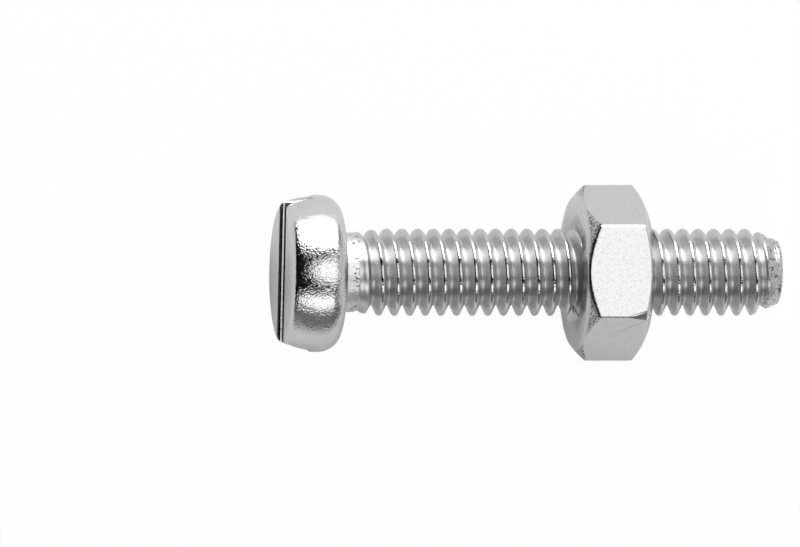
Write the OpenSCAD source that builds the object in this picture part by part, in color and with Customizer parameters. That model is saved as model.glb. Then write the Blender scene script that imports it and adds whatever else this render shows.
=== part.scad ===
// Slotted machine screw with its hex nut run on to the thread.
// The screw lies along X: the seat under the head is at X = 0, the head is on the -X side
// and the shank runs to +X. Lengths in millimetres.

/* [Thread] */
// Diameter over the crests
thread_d = 3.86; // [3:0.02:5]
// Distance from one crest to the next
pitch = 0.7; // [0.6:0.05:0.9]
// Width of the flat on the crest
crest_w = 0.08; // [0.03:0.01:0.1]
// Width of the flat at the root
root_w = 0.06; // [0.04:0.01:0.15]
// Angle between a flank and a plane across the axis
flank_angle = 30; // [20:1:30]
// Distance from the seat to a crest on the +Y side
crest_at = 2.27; // [1.8:0.01:3]
// Flat strips that one turn is made of
segments = 24; // [16:4:28]

/* [Shank] */
// Length from the seat to the tip
shank_l = 19.85; // [17:0.05:30]
// Diameter of the plain neck under the head
neck_d = 3.5; // [3.2:0.02:3.7]
// Length of the neck
neck_l = 0.93; // [0.6:0.01:1.4]
// Length over which the thread dies out into the neck
runout_l = 0.8; // [0.4:0.05:1]
// Fillet between the neck and the seat
fillet_r = 0.25; // [0.15:0.01:0.3]
// Angle between the tip's cone and the axis
tip_angle = 26; // [18:1:40]
// How far the end face's rim lies inside the thread root
tip_inset = 0.11; // [0.05:0.01:0.5]

/* [Head] */
// Largest diameter of the head
head_d = 6.91; // [6.6:0.01:8]
// Height of the head above the seat
head_h = 2.4; // [2:0.05:3]
// Height of the widest section above the seat
widest_h = 0.78; // [0.5:0.01:1]
// Diameter of the flat seat under the head
seat_d = 6.1; // [5.5:0.05:6.3]
// Angle at which the head's side meets the seat
seat_lean = 65; // [50:1:80]
// Diameter of the flat face on top
face_d = 5.88; // [5:0.02:6]
// Rounding of the edge round the face
face_edge = 0.25; // [0.05:0.01:0.3]
// Width of the driver slot
slot_w = 1.55; // [1:0.05:1.6]
// Depth of the driver slot
slot_depth = 1.3; // [0.9:0.05:1.5]
// Angle of the slot round the axis, from the side towards the top
slot_turn = 3.8; // [0:0.1:15]

/* [Nut] */
// Distance from the seat to the nut's face on the head side
nut_at = 10.66; // [2:0.01:16]
// Thickness of the nut
nut_h = 3.04; // [2.4:0.01:4]
// Width across the flats
nut_flats = 6.78; // [6.6:0.01:8]
// How much the rounded corners take off the width across corners
corner_cut = 0.05; // [0.01:0.01:0.15]
// Width of the flat ring on each face, from countersink to chamfer
nut_ring = 0.76; // [0.5:0.01:1.15]
// Angle between the corner chamfer and the face
chamfer_angle = 35; // [20:1:45]
// How far the countersink's rim lies outside the thread
sink_over = 0.42; // [0.1:0.01:0.45]

/* [Fits] */
// Radial gap between the nut's groove and the screw's ridge
thread_gap = 0.07; // [0.04:0.01:0.1]
// Radial gap between the nut's inner crests and the screw's roots
bore_gap = 0.18; // [0.06:0.01:0.2]

/* [Hidden] */

// Thread radii: the flanks and both flats fill one pitch, which gives the depth
crest_r = thread_d / 2;
thread_depth = (pitch - crest_w - root_w) / 2 / tan(flank_angle);
root_r = crest_r - thread_depth;
neck_r = neck_d / 2;
// Step at the end of the neck, where the thread's core leaves it
core_step = 0.04;
tip_r = root_r - tip_inset;

// Nut radii
groove_r = crest_r + thread_gap;
bore_r = root_r + bore_gap;
sink_r = crest_r + sink_over;
ring_r = sink_r + nut_ring;
corner_r = nut_flats / 2 / cos(30) - corner_cut;
nut_end = nut_at + nut_h;
// How far cutters run past the faces that they open
over = 0.3;
// Corners this near an end face are moved on to it
snap = 0.02;
arc_steps = 8;

// Points of an arc with its own radius along each axis
function arc(centre, radii, from, to) = [
    for (i = [0 : arc_steps])
        let (a = from + (to - from) * i / arc_steps)
        centre + [radii[0] * cos(a), radii[1] * sin(a)]
];

// Corners of one turn as [distance from the crest's middle, radius]
function turn_corners(root, crest) =
    let (top = crest_w / 2, foot = top + (crest - root) * tan(flank_angle))
    [[-foot, root], [-top, crest], [top, crest], [foot, root]];

// A solid round the X axis with a helical surface and a flat face at each end.
// shape(x, r) turns a corner's radius into the radius that it has at x.
module helical_solid(from, to, corners, shape) {
    first = crest_at + pitch * floor((from - crest_at) / pitch) - pitch;
    rows = 4 * (ceil((to - first) / pitch) + 1);
    near = segments * (rows + 1);
    far = near + 1;

    // Place along the axis of corner k on meridian i, where k counts on from turn to turn
    function along(i, k) = first + pitch * (i / segments + floor(k / 4)) + corners[k % 4][0];

    // The first corner past an end lies on the rim of its face
    function corner(i, k) =
        let (
            s = along(i, k),
            x = s < from + snap ? from : s > to - snap ? to : s,
            r = shape(x, corners[k % 4][1]),
            a = 360 * i / segments
        )
        [x, r * cos(a), r * sin(a)];

    // Corners further out are the middle of the face, and a full circle on is one turn up
    function index(i, k) =
        along(i, k + 1) <= from + snap ? near
        : along(i, k - 1) >= to - snap ? far
        : i == segments ? index(0, k + 4)
        : i * (rows + 1) + k;

    points = concat(
        [for (i = [0 : segments - 1], k = [0 : rows]) corner(i, k)],
        [[from, 0, 0], [to, 0, 0]]
    );
    triangles = [
        for (i = [0 : segments - 1], k = [1 : rows - 1])
            let (
                a = index(i, k),
                b = index(i + 1, k),
                c = index(i + 1, k + 1),
                d = index(i, k + 1)
            )
            each [[a, d, b], [d, c, b]]
    ];
    polyhedron(
        points,
        [for (t = triangles) if (t[0] != t[1] && t[1] != t[2] && t[2] != t[0]) t],
        convexity = 10
    );
}

// The thread grows out of the neck and is turned down to a cone at the tip
module screw_thread() {
    grown = function (x) min(max((x - neck_l) / runout_l, 0), 1);
    cone = function (x) tip_r + (shank_l - x) * tan(tip_angle);
    core = neck_r - core_step;
    helical_solid(
        neck_l - over, shank_l, turn_corners(root_r, crest_r),
        function (x, r) min(core + (r - core) * grown(x), cone(x))
    );
}

// Head and neck in one turned profile, as [radius, height above the seat]
module head_and_neck() {
    // The side is an arc that runs on from the edge round the face
    rise = head_h - face_edge - widest_h;
    draw_in = (head_d - face_d) / 2;
    side_r = (draw_in * draw_in + rise * rise - face_edge * face_edge) / (2 * (draw_in - face_edge));
    lean = asin(rise / (side_r - face_edge));
    // Below the widest section it is an ellipse that the seat cuts off
    under = [(head_d - seat_d) / 2 / (1 - cos(seat_lean)), widest_h / sin(seat_lean)];
    rotate([0, -90, 0])
        rotate_extrude($fn = 96)
            polygon(concat(
                [[0, head_h]],
                arc([face_d / 2, head_h - face_edge], [face_edge, face_edge], 90, lean),
                arc([head_d / 2 - side_r, widest_h], [side_r, side_r], lean, 0),
                arc([head_d / 2 - under[0], widest_h], under, 0, -seat_lean),
                arc([neck_r + fillet_r, -fillet_r], [fillet_r, fillet_r], 90, 180),
                [[neck_r, -neck_l], [0, -neck_l]]
            ));
}

module screw() {
    color("gainsboro")
        union() {
            difference() {
                head_and_neck();
                rotate([slot_turn, 0, 0])
                    translate([-head_h - over, -head_d, -slot_w / 2])
                        cube([slot_depth + over, 2 * head_d, slot_w]);
            }
            screw_thread();
        }
}

// Hex bar, its corners rounded and turned down to a chamfer at both faces
module nut_blank() {
    depth = (corner_r - ring_r) * tan(chamfer_angle);
    intersection() {
        rotate([30, 0, 0])
            rotate([0, 90, 0])
                cylinder(r = nut_flats / 2 / cos(30), h = nut_h, $fn = 6);
        rotate([0, 90, 0])
            rotate_extrude($fn = 96)
                polygon([
                    [0, 0], [ring_r, 0], [corner_r, depth],
                    [corner_r, nut_h - depth], [ring_r, nut_h], [0, nut_h]
                ]);
    }
}

// The tapped hole follows the screw's own helix, so the two are in mesh wherever the nut is
module nut() {
    sink = function (x) sink_r - min(x - nut_at, nut_end - x);
    color("silver")
        difference() {
            translate([nut_at, 0, 0])
                nut_blank();
            helical_solid(
                nut_at - over, nut_end + over, turn_corners(bore_r, groove_r),
                function (x, r) max(r, sink(x))
            );
        }
}

screw();
nut();
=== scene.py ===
import math

import bmesh
import bpy
from mathutils import Matrix, Vector


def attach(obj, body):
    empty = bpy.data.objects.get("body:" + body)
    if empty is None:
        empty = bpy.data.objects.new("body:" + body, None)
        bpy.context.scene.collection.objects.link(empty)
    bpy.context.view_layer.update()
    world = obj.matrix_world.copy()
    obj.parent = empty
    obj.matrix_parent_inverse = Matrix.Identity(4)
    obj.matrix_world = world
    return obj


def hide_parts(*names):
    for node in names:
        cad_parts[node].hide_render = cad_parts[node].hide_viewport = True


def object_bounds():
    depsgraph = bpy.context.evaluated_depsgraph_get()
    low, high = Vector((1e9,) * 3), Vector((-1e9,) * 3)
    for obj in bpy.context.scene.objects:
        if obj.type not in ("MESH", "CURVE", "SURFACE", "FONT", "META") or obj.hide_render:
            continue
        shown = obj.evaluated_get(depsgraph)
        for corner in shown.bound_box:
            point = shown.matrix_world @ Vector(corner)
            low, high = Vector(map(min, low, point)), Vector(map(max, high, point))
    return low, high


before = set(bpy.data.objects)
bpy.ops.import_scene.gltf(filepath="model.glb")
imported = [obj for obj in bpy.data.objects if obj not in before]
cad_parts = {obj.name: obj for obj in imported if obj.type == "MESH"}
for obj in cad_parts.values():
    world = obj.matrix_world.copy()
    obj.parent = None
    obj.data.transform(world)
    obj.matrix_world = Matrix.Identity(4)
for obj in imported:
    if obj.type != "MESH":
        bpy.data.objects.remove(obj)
cad_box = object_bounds()

# Table. A smooth white board of about a metre and a half, on which the screw lies on its side.
# Seen straight it is nearly even white, and in the metal it shows the screw's soft shadow as well.
MM = 0.001
TABLE_SIDE = 1600 * MM
TABLE_GAP = 0.01 * MM
TABLE_WHITE = (0.9, 0.9, 0.9, 1)
SEEN_GLOW = 0.97
MIRRORED_GLOW = 0.03


class Wire:
    """One output of a node, which Python's operators turn into Math nodes."""

    def __init__(self, finish, socket):
        self.finish = finish
        self.socket = socket

    def maths(self, operation, first, second):
        return self.finish.node(
            "ShaderNodeMath", {"operation": operation}, {0: first, 1: second}
        )

    def __add__(self, other):
        return self.maths("ADD", self, other)

    def __radd__(self, other):
        return self.maths("ADD", other, self)

    def __sub__(self, other):
        return self.maths("SUBTRACT", self, other)

    def __rsub__(self, other):
        return self.maths("SUBTRACT", other, self)

    def __mul__(self, other):
        return self.maths("MULTIPLY", self, other)

    def __rmul__(self, other):
        return self.maths("MULTIPLY", other, self)


class Finish:
    """A finish, as one material made of nodes."""

    def __init__(self, name):
        self.material = bpy.data.materials.new(name)
        self.material.use_nodes = True
        self.tree = self.material.node_tree
        self.tree.nodes.clear()

    def node(self, kind, settings=None, inputs=None, output=0):
        made = self.tree.nodes.new(kind)
        for name, value in (settings or {}).items():
            setattr(made, name, value)
        for socket, value in (inputs or {}).items():
            if isinstance(value, Wire):
                self.tree.links.new(value.socket, made.inputs[socket])
            else:
                made.inputs[socket].default_value = value
        return Wire(self, made.outputs[output])

    def show(self, surface):
        output = self.tree.nodes.new("ShaderNodeOutputMaterial")
        self.tree.links.new(surface.socket, output.inputs["Surface"])


def mesh_object(name, bm, finishes):
    """Turns a bmesh into an object in the scene and gives it its finishes."""
    mesh = bpy.data.meshes.new(name)
    bm.to_mesh(mesh)
    bm.free()
    made = bpy.data.objects.new(name, mesh)
    bpy.context.scene.collection.objects.link(made)
    for finish in finishes:
        mesh.materials.append(finish.material)
    return made


def white_paint():
    finish = Finish("white_paint")
    paint = finish.node("ShaderNodeBsdfDiffuse", None, {"Color": TABLE_WHITE})
    glow = finish.node("ShaderNodeEmission", None, {"Strength": 1.0})
    seen = finish.node("ShaderNodeLightPath", None, None, "Is Camera Ray")
    mirrored = finish.node("ShaderNodeLightPath", None, None, "Is Glossy Ray")
    passed = finish.node("ShaderNodeLightPath", None, None, "Is Transmission Ray")
    share = SEEN_GLOW * seen + MIRRORED_GLOW * (mirrored + passed)
    finish.show(finish.node("ShaderNodeMixShader", None, {0: share, 1: paint, 2: glow}))
    return finish


board = bmesh.new()
bmesh.ops.create_grid(board, x_segments=1, y_segments=1, size=TABLE_SIDE / 2)
bmesh.ops.translate(board, verts=board.verts[:], vec=(0, 0, cad_box[0][2] - TABLE_GAP))
mesh_object("table", board, [white_paint()])

# Studio. A dark felt tent stands over the table, with softboxes hung inside it. The metal shows
# the white boxes, the dark felt between them and the white table below.
TENT_RADIUS = 780 * MM
FELT = (0.06, 0.06, 0.06, 1)

studio = bpy.data.worlds.new("studio")
studio.use_nodes = True
studio.node_tree.nodes["Background"].inputs["Color"].default_value = (1, 1, 1, 1)
studio.node_tree.nodes["Background"].inputs["Strength"].default_value = 1.0
bpy.context.scene.world = studio
bpy.context.scene.view_settings.view_transform = "Standard"


def felt():
    finish = Finish("felt")
    finish.show(finish.node("ShaderNodeBsdfDiffuse", None, {"Color": FELT}))
    return finish


cloth = bmesh.new()
bmesh.ops.create_icosphere(cloth, subdivisions=4, radius=TENT_RADIUS)
bmesh.ops.bisect_plane(
    cloth,
    geom=cloth.verts[:] + cloth.edges[:] + cloth.faces[:],
    plane_co=(0, 0, cad_box[0][2]),
    plane_no=(0, 0, 1),
    clear_inner=True,
)
tent = mesh_object("tent", cloth, [felt()])
tent.visible_camera = False


def softbox(name, towards, side, reach, spans, radiance, shape="RECTANGLE"):
    """A flat lamp square to a direction, from one angle to another across each of its two sides."""
    away = Vector(towards).normalized()
    along = Vector(side).normalized()
    across = away.cross(along)
    (left, right), (low, high) = [
        [reach * math.tan(math.radians(angle)) for angle in span] for span in spans
    ]
    lamp = bpy.data.lights.new(name, "AREA")
    lamp.shape = shape
    lamp.size = right - left
    lamp.size_y = high - low
    filled = math.pi / 4 if shape == "ELLIPSE" else 1
    area = lamp.size * lamp.size_y * filled
    lamp.energy = radiance * math.pi * area
    made = bpy.data.objects.new(name, lamp)
    bpy.context.scene.collection.objects.link(made)
    turn = Matrix((along, across, away)).transposed().to_4x4()
    middle = away * reach + along * (left + right) / 2 + across * (low + high) / 2
    made.matrix_world = Matrix.Translation(middle) @ turn
    made.visible_camera = False


def tipped(x_part, y_part, degrees):
    """A direction that leans from straight up by so many degrees."""
    lean = math.radians(degrees)
    return (x_part * math.sin(lean), y_part * math.sin(lean), math.cos(lean))


softbox(
    "softbox_left",
    towards=tipped(0, 1, 62),
    side=(1, 0, 0),
    reach=250 * MM,
    spans=[(-22, 38.5), (-23, 23)],
    radiance=4.2,
)
softbox(
    "softbox_right",
    towards=tipped(0, -1, 43),
    side=(1, 0, 0),
    reach=300 * MM,
    spans=[(-33, 33), (-11.5, 11.5)],
    radiance=1.8,
    shape="ELLIPSE",
)
softbox(
    "softbox_top",
    towards=tipped(1, 0, 14),
    side=(0, 1, 0),
    reach=300 * MM,
    spans=[(-16, 23), (-30, 31)],
    radiance=1.47,
    shape="ELLIPSE",
)
softbox(
    "card_tip",
    towards=tipped(1, 0, 68),
    side=(0, 1, 0),
    reach=300 * MM,
    spans=[(-35, 35), (-21, 21)],
    radiance=0.7,
)
softbox(
    "card_right",
    towards=tipped(0, -1, 74),
    side=(1, 0, 0),
    reach=300 * MM,
    spans=[(-50, 50), (-14, 14)],
    radiance=0.2,
)

# Camera. It looks down on the screw and is tipped towards the head's side, so that the head's
# face shows as a narrow ellipse.
VIEW_TIP = math.radians(11)
LENS = 900
SENSOR = 36
FRAME_WIDTH = 35.20 * MM
AIM = Vector((2.90, -0.055, 0)) * MM

lens = bpy.data.cameras.new("camera")
lens.lens = LENS
lens.sensor_width = SENSOR
camera = bpy.data.objects.new("camera", lens)
bpy.context.scene.collection.objects.link(camera)
from_screw = Vector((-math.sin(VIEW_TIP), 0, math.cos(VIEW_TIP)))
camera.location = AIM + from_screw * FRAME_WIDTH * LENS / SENSOR
camera.rotation_euler = (0, -VIEW_TIP, 0)
bpy.context.scene.camera = camera

# Screw. One piece of steel wire: the head is upset and its slot milled, the thread is rolled
# between dies, and the whole is plated with bright zinc. Sizes are in millimetres.
PITCH = 0.7
CREST_R = 1.925
CREST_HALF = 0.072
CREST_ROUND = 0.1
ROOT_ROUND = 0.08
FLANK = math.radians(26.5)
CREST_AT = 2.285
STEPS = 96
TURNS = 30
NECK_R = 1.75
NECK_FROM = 0.3
NECK_JOIN = 0.02
NECK_L = 0.78
ROOT_RUNOUT = 0.6
CREST_RUNOUT = 1.2
SHANK_L = 19.85
TIP_CONE = math.radians(24)
TIP_R = 1.30
TIP_ROUND = (0.14, 0.15)

HEAD_H = 2.4
HEAD_R = 3.455
WIDEST = 0.78
FACE_R = 2.94
FACE_EDGE = 0.25
SEAT_R = 3.05
SEAT_LEAN = 65
FILLET = 0.25
SLOT_HALF = 0.775
SLOT_DEPTH = 1.3
SLOT_LEDGE = ((0.15, 0), (0.215, 0.0115))
SLOT_WORN_FROM = 3.07
SLOT_WORN_SLOPE = math.tan(math.radians(30))
SLOT_EDGE = 0.015
SLOT_TURN = math.radians(3.8)
SLOT_MARGIN = 0.01
HEAD_LEAN = math.radians(0.6)
HEAD_DROP = 0.06
HEAD_STEPS = 160


def arc(centre, radii, start, stop, steps):
    """Points of an arc round a centre, given as distance along the screw and radius."""
    points = []
    for i in range(steps + 1):
        turn = math.radians(start + (stop - start) * i / steps)
        points.append((centre[0] + radii[0] * math.sin(turn), centre[1] + radii[1] * math.cos(turn)))
    return points


def outline(bm, points):
    """A chain of edges through points given as distance along the screw and radius."""
    verts = [bm.verts.new((x, r, 0)) for x, r in points]
    for a, b in zip(verts[:-1], verts[1:]):
        bm.edges.new((a, b))
    return verts


def everything(bm):
    return bm.verts[:] + bm.edges[:] + bm.faces[:]


def turned(points, steps):
    """A solid of revolution about the screw's axis, from an outline that starts and ends on it."""
    bm = bmesh.new()
    outline(bm, points)
    bmesh.ops.spin(
        bm, geom=everything(bm), axis=(1, 0, 0), angle=math.tau, steps=steps, use_merge=True
    )
    bmesh.ops.remove_doubles(bm, verts=bm.verts[:], dist=1e-5)
    bmesh.ops.recalc_face_normals(bm, faces=bm.faces[:])
    return bm


def carved(bm, tool, operation):
    """The bmesh after a tool's solid is cut from it, or after only what the tool holds is kept."""
    blank = mesh_object("blank", bm, [])
    cutter = mesh_object("cutter", tool, [])
    cut = blank.modifiers.new("cut", "BOOLEAN")
    cut.operation = operation
    cut.object = cutter
    cut.solver = "EXACT"
    done = bmesh.new()
    done.from_object(blank, bpy.context.evaluated_depsgraph_get())
    for spent in (blank, cutter):
        bpy.data.meshes.remove(spent.data)
    return done


def sharp_edges(bm, least, near):
    """Edges where two faces meet at more than so many degrees, among those that near() picks."""
    return [
        e
        for e in bm.edges
        if e.is_manifold
        and e.calc_face_angle() > math.radians(least)
        and near((e.verts[0].co + e.verts[1].co) / 2)
    ]


def in_slot(p):
    """Whether a point is in the slot or on its walls."""
    across = p.z * math.cos(SLOT_TURN) - p.y * math.sin(SLOT_TURN)
    return p.x < SLOT_DEPTH - HEAD_H + SLOT_MARGIN and abs(across) < SLOT_HALF + SLOT_MARGIN


def head():
    rise = HEAD_H - FACE_EDGE - WIDEST
    draw_in = HEAD_R - FACE_R
    side = (draw_in**2 + rise**2 - FACE_EDGE**2) / (2 * (draw_in - FACE_EDGE))
    lean = math.degrees(math.asin(rise / (side - FACE_EDGE)))
    under = math.radians(SEAT_LEAN)
    below = (WIDEST / math.sin(under), (HEAD_R - SEAT_R) / (1 - math.cos(under)))
    points = [(-HEAD_H, 0)]
    points += arc((FACE_EDGE - HEAD_H, FACE_R), (FACE_EDGE, FACE_EDGE), -90, -lean, 10)
    points += arc((-WIDEST, HEAD_R - side), (side, side), -lean, 0, 18)[1:]
    points += arc((-WIDEST, HEAD_R - below[1]), below, 0, SEAT_LEAN, 18)[1:]
    points += arc((FILLET, NECK_R + FILLET), (FILLET, FILLET), 270, 180, 6)
    points += [(NECK_FROM, NECK_R), (NECK_FROM, 0)]
    bm = turned(points, HEAD_STEPS)
    saw = bmesh.new()
    floor = SLOT_DEPTH - HEAD_H
    outside = -HEAD_H - 1
    profile = [(outside, SLOT_HALF), (floor, SLOT_HALF), (floor, SLOT_LEDGE[1][1] - SLOT_HALF)]
    profile += [(depth - HEAD_H, rise - SLOT_HALF) for depth, rise in reversed(SLOT_LEDGE)]
    profile += [(outside, -SLOT_HALF)]
    blade = [saw.verts.new((x, -2 * HEAD_R, z)) for x, z in profile]
    cut = bmesh.ops.contextual_create(saw, geom=blade)["faces"]
    pushed = bmesh.ops.extrude_face_region(saw, geom=cut)["geom"]
    pushed = [v for v in pushed if isinstance(v, bmesh.types.BMVert)]
    bmesh.ops.translate(saw, verts=pushed, vec=(0, 2 * HEAD_R + SLOT_WORN_FROM, 0))
    end = [f for f in saw.faces if all(v in pushed for v in f.verts)]
    flared = bmesh.ops.extrude_face_region(saw, geom=end)["geom"]
    flared = [v for v in flared if isinstance(v, bmesh.types.BMVert)]
    bmesh.ops.translate(saw, verts=flared, vec=(0, HEAD_R, 0))
    for v in flared:
        if v.co.z < 0:
            v.co.z -= SLOT_WORN_SLOPE * HEAD_R
    bmesh.ops.delete(saw, geom=end, context="FACES_ONLY")
    bmesh.ops.recalc_face_normals(saw, faces=saw.faces[:])
    bmesh.ops.rotate(saw, verts=saw.verts[:], matrix=Matrix.Rotation(SLOT_TURN, 3, "X"))
    bm = carved(bm, saw, "DIFFERENCE")
    mouth = sharp_edges(bm, 62, in_slot)
    bmesh.ops.bevel(
        bm, geom=mouth, offset=SLOT_EDGE, segments=3, profile=0.5, affect="EDGES", material=-1
    )
    return bm


def helix(first, section, turns, steps):
    """A helical strip. One turn of its section is spun, then copied along the axis.

    The section lists distance along the screw, radius, and how much of each side a rounding takes.
    """
    bm = bmesh.new()
    verts = outline(bm, [(first + x, r) for x, r, rounded in section])
    for vert, (x, r, rounded) in zip(verts, section):
        if rounded:
            bmesh.ops.bevel(
                bm, geom=[vert], offset=rounded, segments=6, profile=0.5, affect="VERTICES", material=-1
            )
    bmesh.ops.spin(
        bm,
        geom=everything(bm),
        axis=(1, 0, 0),
        dvec=(PITCH / steps, 0, 0),
        angle=math.tau,
        steps=steps,
    )
    one_turn = everything(bm)
    for turn in range(1, turns):
        copy = bmesh.ops.duplicate(bm, geom=one_turn)["geom"]
        moved = [v for v in copy if isinstance(v, bmesh.types.BMVert)]
        bmesh.ops.translate(bm, verts=moved, vec=(turn * PITCH, 0, 0))
    bmesh.ops.remove_doubles(bm, verts=bm.verts[:], dist=1e-4)
    return bm


def radius(vert):
    return math.hypot(vert.co.y, vert.co.z)


def set_radius(vert, wanted):
    scale = wanted / radius(vert)
    vert.co.y *= scale
    vert.co.z *= scale


def cut_off(bm, at, clear):
    bmesh.ops.bisect_plane(
        bm, geom=everything(bm), plane_co=(at, 0, 0), plane_no=(1, 0, 0), **{clear: True}
    )


def shank():
    half = PITCH / 2
    crest_round = CREST_ROUND * math.tan((math.pi / 2 - FLANK) / 2)
    apex = CREST_R - (half - CREST_HALF) / math.tan(FLANK)
    ridges = [
        (-half, CREST_R, 0),
        (CREST_HALF - half, CREST_R, crest_round),
        (0, apex, ROOT_ROUND / math.tan(FLANK)),
        (half - CREST_HALF, CREST_R, crest_round),
        (half, CREST_R, 0),
    ]
    bm = helix(CREST_AT - 2.5 * PITCH, ridges, TURNS, STEPS)
    shoulder = SHANK_L - TIP_ROUND[0]
    for v in bm.verts:
        over_neck = radius(v) - NECK_R
        runout = CREST_RUNOUT if over_neck > 0 else ROOT_RUNOUT
        grown = min(max((v.co.x - NECK_L) / runout, 0), 1)
        cone = TIP_R + TIP_ROUND[1] + (shoulder - v.co.x) * math.tan(TIP_CONE)
        set_radius(v, min(NECK_R + over_neck * grown, cone))
    cut_off(bm, NECK_FROM + NECK_JOIN, "clear_inner")
    cut_off(bm, shoulder, "clear_outer")
    rim = [e for e in bm.edges if e.is_boundary and e.verts[0].co.x > shoulder - 0.01]
    for x, r in arc((shoulder, TIP_R), TIP_ROUND, 0, 90, 5)[1:]:
        ring = bmesh.ops.extrude_edge_only(bm, edges=rim)["geom"]
        rim = [e for e in ring if isinstance(e, bmesh.types.BMEdge)]
        for v in ring:
            if isinstance(v, bmesh.types.BMVert):
                v.co.x = x
                set_radius(v, r)
    bmesh.ops.holes_fill(bm, edges=rim, sides=0)
    return bm


def in_metres(bm):
    bmesh.ops.triangulate(bm, faces=[f for f in bm.faces if len(f.verts) > 4])
    bmesh.ops.recalc_face_normals(bm, faces=bm.faces[:])
    bmesh.ops.scale(bm, verts=bm.verts[:], vec=(MM, MM, MM))


def screw_mesh():
    bm = head()
    upset = [v for v in bm.verts if v.co.x < 0.001]
    bmesh.ops.rotate(bm, verts=upset, matrix=Matrix.Rotation(-HEAD_LEAN, 3, "Z"))
    bmesh.ops.translate(bm, verts=upset, vec=(0, -HEAD_DROP, 0))
    cap = [f for f in bm.faces if f.normal.x > 0.9 and f.calc_center_median().x > NECK_FROM - 0.01]
    bmesh.ops.delete(bm, geom=cap, context="FACES")
    part = bpy.data.meshes.new("part")
    thread = shank()
    thread.to_mesh(part)
    thread.free()
    bm.from_mesh(part)
    bpy.data.meshes.remove(part)
    rings = [e for e in bm.edges if e.is_boundary]
    bmesh.ops.bridge_loops(bm, edges=rings)
    for f in bm.faces:
        middle = f.calc_center_median()
        f.smooth = True
        if middle.x > NECK_L:
            f.material_index = 3
        elif middle.x > 0.02:
            f.material_index = 2
        # Faces in the slot take the slot's painted shade, and the sloping ledge takes the lighter
        # painted tone.
        elif in_slot(middle):
            f.material_index = 4 if 0.15 < -f.normal.x < 0.2 else 1
    for e in sharp_edges(bm, 8, in_slot):
        e.smooth = False
    in_metres(bm)
    return bm


def metal(finish, colour, roughness, relief):
    return finish.node(
        "ShaderNodeBsdfPrincipled",
        None,
        {"Base Color": colour, "Metallic": 1.0, "Roughness": roughness, "Normal": relief},
    )


def place(finish):
    return finish.node("ShaderNodeTexCoord", None, None, "Object")


def noise(finish, size_mm, detail=2.0, where=None):
    """Noise of about the given grain, from 0 to 1."""
    return finish.node(
        "ShaderNodeTexNoise",
        None,
        {"Vector": where or place(finish), "Scale": 1 / (size_mm * MM), "Detail": detail},
        "Fac",
    )


def bump(finish, height, depth_mm, over=None):
    inputs = {"Height": height, "Distance": depth_mm * MM, "Strength": 1.0}
    if over:
        inputs["Normal"] = over
    return finish.node("ShaderNodeBump", None, inputs)


def blend(finish, factor, dark, light):
    """From the dark to the light colour. Either may itself be a blend."""
    ends = [colour if isinstance(colour, Wire) else (*colour, 1) for colour in (dark, light)]
    return finish.node(
        "ShaderNodeMix",
        {"data_type": "RGBA"},
        {"Factor": factor, "A": ends[0], "B": ends[1]},
        "Result",
    )


def along(finish, axis):
    """Distance along one of the three axes."""
    return finish.node("ShaderNodeSeparateXYZ", None, {0: place(finish)}, axis)


def from_axis(finish):
    """Distance from the screw's axis."""
    y_z = finish.node(
        "ShaderNodeVectorMath", {"operation": "MULTIPLY"}, {0: place(finish), 1: (0, 1, 1)}
    )
    return finish.node("ShaderNodeVectorMath", {"operation": "LENGTH"}, {0: y_z}, "Value")


def ramp(finish, value, between, ends, unit=MM):
    """Runs smoothly between two values as a length in millimetres goes from one to another."""
    return finish.node(
        "ShaderNodeMapRange",
        {"interpolation_type": "SMOOTHSTEP"},
        {
            "Value": value,
            "From Min": between[0] * unit,
            "From Max": between[1] * unit,
            "To Min": ends[0],
            "To Max": ends[1],
        },
    )


ZINC_DARK = (0.61, 0.61, 0.61)
ZINC_LIGHT = (0.70, 0.70, 0.70)


def bright_head():
    finish = Finish("bright_head")
    relief = bump(finish, noise(finish, 0.35, 1.0), 0.012)
    relief = bump(finish, noise(finish, 0.075, 1.0), 0.015, relief)
    tone = blend(finish, noise(finish, 0.8), ZINC_DARK, ZINC_LIGHT)
    finish.show(metal(finish, tone, 0.08, relief))
    return finish


# Painted shade. The slot is plated like the rest of the head; these much darker tones stand in for the
# shade deep between its narrow walls.
SLOT_SHADE_DARK = (0.26, 0.26, 0.26)
SLOT_SHADE_LIGHT = (0.46, 0.46, 0.46)


def slot_painted_shade():
    # Painted shade in the slot: its walls and floor take the dark tones above instead of the head's
    # plated zinc.
    finish = Finish("slot_painted_shade")
    relief = bump(finish, noise(finish, 0.1, 2.0), 0.006)
    tone = blend(finish, noise(finish, 0.4), SLOT_SHADE_DARK, SLOT_SHADE_LIGHT)
    # The painted shade fades out at the slot's open end towards +Y, where its walls take the head's
    # plated tone again.
    mouth = ramp(finish, along(finish, "Y"), (2.95, 3.05), (0, 1))
    tone = blend(finish, mouth, tone, ZINC_LIGHT)
    finish.show(metal(finish, tone, 0.22, relief))
    return finish


# Painted shade and highlight: the ledge in the slot wall is painted lighter than the rest of the slot,
# from the slot's painted shade up to the head's plated tone, so that its reflection shows as a bright
# line.
def ledge_less_painted_shade():
    finish = Finish("ledge_less_painted_shade")
    relief = bump(finish, noise(finish, 0.2, 2.0), 0.003)
    tone = blend(finish, noise(finish, 0.15, 2.0), SLOT_SHADE_LIGHT, ZINC_LIGHT)
    finish.show(metal(finish, tone, 0.14, relief))
    return finish


NECK_DARK = (0.64, 0.64, 0.64)
NECK_LIGHT = (0.78, 0.78, 0.78)
SPECK = (0.12, 0.12, 0.12)


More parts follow.
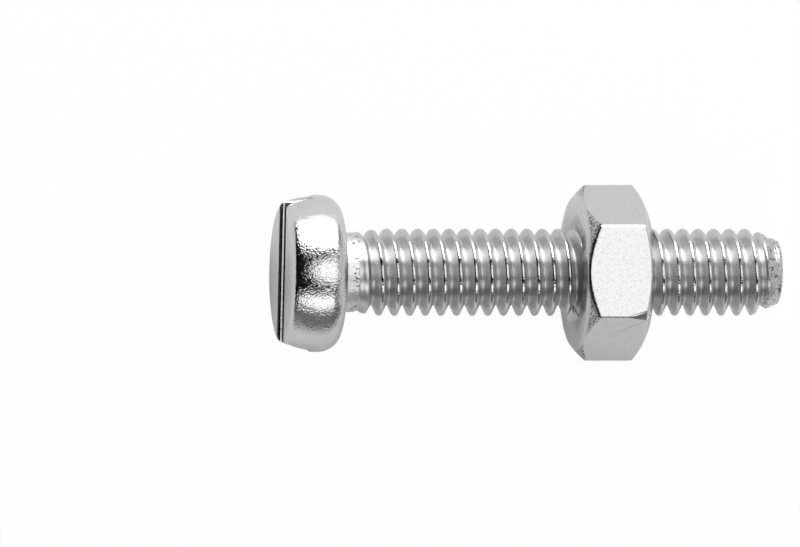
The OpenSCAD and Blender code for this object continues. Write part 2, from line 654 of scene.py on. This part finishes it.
def drawn_neck():
    finish = Finish("drawn_neck")
    lengthwise = finish.node(
        "ShaderNodeVectorMath", {"operation": "MULTIPLY"}, {0: place(finish), 1: (0.3, 1, 1)}
    )
    relief = bump(finish, noise(finish, 0.06, 2.0, lengthwise), 0.016)
    tone = blend(finish, noise(finish, 0.1), NECK_DARK, NECK_LIGHT)
    specks = ramp(finish, noise(finish, 0.11, 3.0), (0.56, 0.60), (0, 1), 1)
    specks = specks * ramp(finish, along(finish, "X"), (0.45, 0.55), (0, 1))
    tone = blend(finish, specks, tone, SPECK)
    finish.show(metal(finish, tone, 0.34, relief))
    return finish


THREAD_DARK = (0.54, 0.54, 0.54)
THREAD_LIGHT = (0.64, 0.64, 0.64)


def rolled_thread():
    finish = Finish("rolled_thread")
    relief = bump(finish, noise(finish, 0.1, 2.0), 0.002)
    tone = blend(finish, noise(finish, 0.3), THREAD_DARK, THREAD_LIGHT)
    on_crest = ramp(finish, from_axis(finish), (CREST_R - 0.06, CREST_R - 0.02), (0, 1))
    relief = bump(finish, noise(finish, 0.09, 2.0) * on_crest, 0.010, relief)
    specks = ramp(finish, noise(finish, 0.13, 3.0), (0.57, 0.61), (0, 1), 1)
    specks = specks * ramp(finish, along(finish, "X"), (SHANK_L - 0.85, SHANK_L - 0.7), (0, 1))
    tone = blend(finish, specks, tone, SPECK)
    polish = ramp(finish, from_axis(finish), (CREST_R - 0.065, CREST_R - 0.05), (0.32, 0.07))
    finish.show(metal(finish, tone, polish, relief))
    return finish


screw_finishes = [bright_head(), slot_painted_shade(), drawn_neck(), rolled_thread(), ledge_less_painted_shade()]
screw = mesh_object("screw_plated", screw_mesh(), screw_finishes)
screw.modifiers.new("flat_faces_stay_flat", "WEIGHTED_NORMAL").keep_sharp = True
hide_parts("screw")
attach(screw, "screw")

# Nut. Pressed from steel bar, tapped right through after both mouths are countersunk, and
# plated like the screw. Its corners are rounded and both faces are chamfered.
NUT_AT = 10.66
NUT_H = 3.07
NUT_DROP = 0.025
CHAMFER_DROP = 0.01
WIDE_FLAT = 0.12
FLATS_HALF = 3.39
NUT_CORNERS = (
    (lambda p: abs(p.z) < 0.5, 0.15, 6),
    (lambda p: p.z > 1 and p.y > 1, 0.05, 1),
    (lambda p: abs(p.z) > 1 and (p.z < 1 or p.y < 1), 0.04, 1),
)
WORN_FROM = 12.45
WEAR_DEPTH = 0.19
TURNED_R = 3.97
NEAR_RING_R = 3.26
NEAR_CHAMFER = math.radians(40)
FAR_RING_R = 3.0
FAR_CHAMFER = math.radians(26)
SINK_R = 2.32
SINK_MARGIN = 0.01
GROOVE_R = 2.0
BORE_R = 1.625
CHAMFER_EDGE = 0.06
OVER = 0.3


def runs_along(edge):
    """Whether an edge is parallel to the screw's axis."""
    span = edge.verts[1].co - edge.verts[0].co
    return abs(span.x) > 0.99 * span.length


def nut_mesh():
    bar = bmesh.new()
    bmesh.ops.create_circle(bar, cap_ends=True, segments=6, radius=FLATS_HALF / math.cos(math.pi / 6))
    bmesh.ops.rotate(bar, verts=bar.verts[:], matrix=Matrix.Rotation(math.pi / 2, 3, "Y"))
    bmesh.ops.translate(bar, verts=bar.verts[:], vec=(NUT_AT, 0, 0))
    lid = bmesh.ops.extrude_face_region(bar, geom=bar.faces[:])
    far = [v for v in lid["geom"] if isinstance(v, bmesh.types.BMVert)]
    bmesh.ops.translate(bar, verts=far, vec=(NUT_H, 0, 0))
    bmesh.ops.recalc_face_normals(bar, faces=bar.faces[:])
    for v in bar.verts:
        if v.co.z > 1 and v.co.y > 1:
            v.co.y += WIDE_FLAT
    for at_corner, width, segments in NUT_CORNERS:
        edges = [e for e in bar.edges if runs_along(e) and at_corner(e.verts[0].co)]
        bmesh.ops.bevel(
            bar, geom=edges, offset=width, segments=segments, profile=0.5, affect="EDGES", material=-1
        )
    slant = math.atan2(WEAR_DEPTH, NUT_AT + NUT_H - WORN_FROM)
    bmesh.ops.bisect_plane(
        bar,
        geom=everything(bar),
        plane_co=(WORN_FROM, -FLATS_HALF / math.sqrt(3), FLATS_HALF),
        plane_no=(math.sin(slant), -0.5 * math.cos(slant), math.sqrt(0.75) * math.cos(slant)),
        clear_outer=True,
    )
    bmesh.ops.holes_fill(bar, edges=[e for e in bar.edges if e.is_boundary], sides=0)
    near = NUT_AT
    far_end = NUT_AT + NUT_H
    envelope = turned(
        [
            (near, 0),
            (near, NEAR_RING_R),
            (near + (TURNED_R - NEAR_RING_R) * math.tan(NEAR_CHAMFER), TURNED_R),
            (far_end - (TURNED_R - FAR_RING_R) * math.tan(FAR_CHAMFER), TURNED_R),
            (far_end, FAR_RING_R),
            (far_end, 0),
        ],
        128,
    )
    bmesh.ops.translate(bar, verts=bar.verts[:], vec=(0, -NUT_DROP, 0))
    bmesh.ops.translate(envelope, verts=envelope.verts[:], vec=(0, -CHAMFER_DROP, 0))
    bm = carved(bar, envelope, "INTERSECT")
    rims = sharp_edges(bm, 12, lambda p: math.hypot(p.y, p.z) > FLATS_HALF - 0.2)
    rims = [e for e in rims if not runs_along(e)]
    bmesh.ops.bevel(
        bm, geom=rims, offset=CHAMFER_EDGE, segments=4, profile=0.5, affect="EDGES", material=-1
    )
    first = CREST_AT + PITCH * round((NUT_AT - CREST_AT) / PITCH - 2)
    foot = CREST_HALF + (GROOVE_R - BORE_R) * math.tan(FLANK)
    grooves = [
        (-PITCH / 2, BORE_R, 0),
        (-foot, BORE_R, 0.04),
        (-CREST_HALF, GROOVE_R, 0.03),
        (CREST_HALF, GROOVE_R, 0.03),
        (foot, BORE_R, 0.04),
        (PITCH / 2, BORE_R, 0),
    ]
    tap = helix(first, grooves, 8, 72)
    for v in tap.verts:
        inward = min(v.co.x - NUT_AT, NUT_AT + NUT_H - v.co.x)
        set_radius(v, max(radius(v), SINK_R - inward))
    cut_off(tap, NUT_AT - OVER, "clear_inner")
    cut_off(tap, NUT_AT + NUT_H + OVER, "clear_outer")
    bmesh.ops.holes_fill(tap, edges=[e for e in tap.edges if e.is_boundary], sides=0)
    bmesh.ops.triangulate(tap, faces=tap.faces[:])
    bmesh.ops.recalc_face_normals(tap, faces=tap.faces[:])
    bm = carved(bm, tap, "DIFFERENCE")
    for f in bm.faces:
        middle = f.calc_center_median()
        f.smooth = True
        if math.hypot(middle.y, middle.z) < SINK_R - SINK_MARGIN:
            f.material_index = 1
    for e in sharp_edges(bm, 20, lambda p: math.hypot(p.y, p.z) > FLATS_HALF):
        e.smooth = False
    in_metres(bm)
    return bm


NUT_DARK = (0.52, 0.52, 0.52)
NUT_LIGHT = (0.64, 0.64, 0.64)


def pressed_nut():
    finish = Finish("pressed_nut")
    relief = bump(finish, noise(finish, 0.12, 3.0), 0.004)
    grain = ramp(finish, noise(finish, 0.06, 1.0), (0.28, 0.5), (0, 1), 1)
    tone = blend(finish, grain, NUT_DARK, NUT_LIGHT)
    cone = along(finish, "X") - math.tan(NEAR_CHAMFER) * from_axis(finish)
    start = NUT_AT - math.tan(NEAR_CHAMFER) * NEAR_RING_R
    dull = ramp(finish, cone, (start + 0.05, start + 0.10), (1, 0))
    dull = dull * ramp(finish, from_axis(finish), (FLATS_HALF - 0.02, FLATS_HALF + 0.15), (0, 1))
    dull = dull * ramp(finish, noise(finish, 0.09, 2.0), (0.42, 0.56), (1, 0.15), 1)
    tone = blend(finish, dull, tone, SPECK)
    finish.show(metal(finish, tone, 0.2, relief))
    return finish


def tapped_hole():
    finish = Finish("tapped_hole")
    relief = bump(finish, noise(finish, 0.1, 2.0), 0.002)
    tone = blend(finish, noise(finish, 0.3), ZINC_DARK, ZINC_LIGHT)
    finish.show(metal(finish, tone, 0.25, relief))
    return finish


nut = mesh_object("nut_plated", nut_mesh(), [pressed_nut(), tapped_hole()])
nut.modifiers.new("flat_faces_stay_flat", "WEIGHTED_NORMAL").keep_sharp = True
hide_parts("nut")
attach(nut, "nut")
